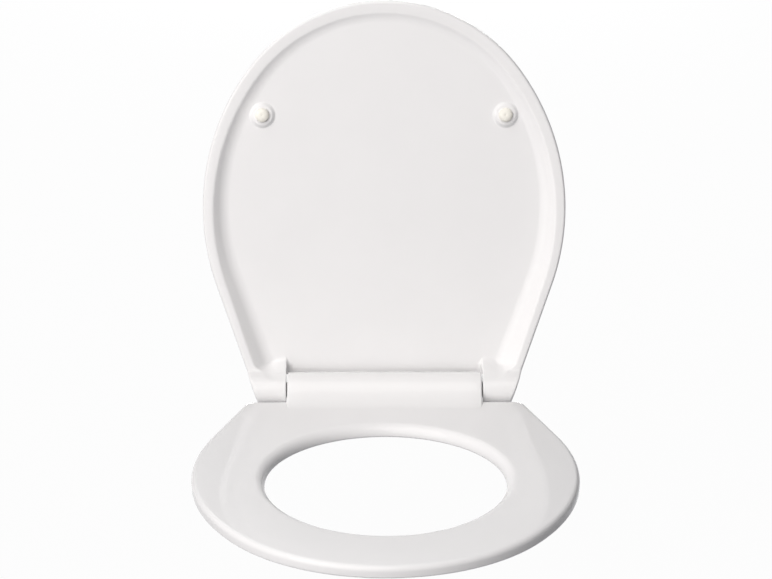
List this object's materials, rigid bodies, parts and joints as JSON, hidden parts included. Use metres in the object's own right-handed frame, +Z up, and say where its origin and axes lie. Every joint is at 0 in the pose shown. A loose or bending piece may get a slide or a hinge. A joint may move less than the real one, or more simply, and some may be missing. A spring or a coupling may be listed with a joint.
{
  "type": "toilet seat",
  "caption": "Egg-shaped moulded toilet seat and lid on a rear hinge barrel, lid open, with soft buffers and expanding anchors that fix it to the pan from above.",
  "frame": {"origin": "midway between the two fixing anchors, on the pan's surface", "axes": "+Z up out of the pan, the seat's front towards -Y, +X to the right seen from the front"},
  "size_m": [0.37, 0.5222, 0.4323],
  "materials": {
    "moulding": "glossy white moulded resin",
    "buffer": "soft off-white",
    "hinge_plastic": "satin white nylon",
    "stainless": "turned stainless steel",
    "gasket": "soft grey",
    "anchor_plastic": "grey nylon",
    "nut": "turned brass"
  },
  "bodies": {
    "hinge_feet": {"hinge_foot_left": "hinge_plastic", "hinge_foot_right": "hinge_plastic", "hinge_pin_left": "stainless", "hinge_pin_right": "stainless", "foot_gasket_left": "gasket", "foot_gasket_right": "gasket", "fixing_screw_left": "stainless", "fixing_screw_right": "stainless", "expanding_sleeve_left": "anchor_plastic", "expanding_sleeve_right": "anchor_plastic", "cone_nut_left": "nut", "cone_nut_right": "nut"},
    "seat": {"seat_ring": "moulding", "seat_buffer_front_left": "buffer", "seat_buffer_front_right": "buffer", "seat_buffer_rear_left": "buffer", "seat_buffer_rear_right": "buffer", "barrel_bush_left": "hinge_plastic", "barrel_bush_right": "hinge_plastic"},
    "cover": {"lid": "moulding", "lid_buffer_left": "buffer", "lid_buffer_right": "buffer", "ear_bush_left": "hinge_plastic", "ear_bush_right": "hinge_plastic", "ear_cap_left": "moulding", "ear_cap_right": "moulding"}
  },
  "joints": [
    {"name": "seat_hinge", "type": "hinge", "parent": "hinge_feet", "child": "seat", "pos_m": [0, 0.014, 0.025], "axis": [-1, 0, 0], "range_deg": [0, 95]},
    {"name": "lid_hinge", "type": "hinge", "parent": "seat", "child": "cover", "pos_m": [0, 0.014, 0.025], "axis": [1, 0, 0], "range_deg": [0, 107]}
  ]
}
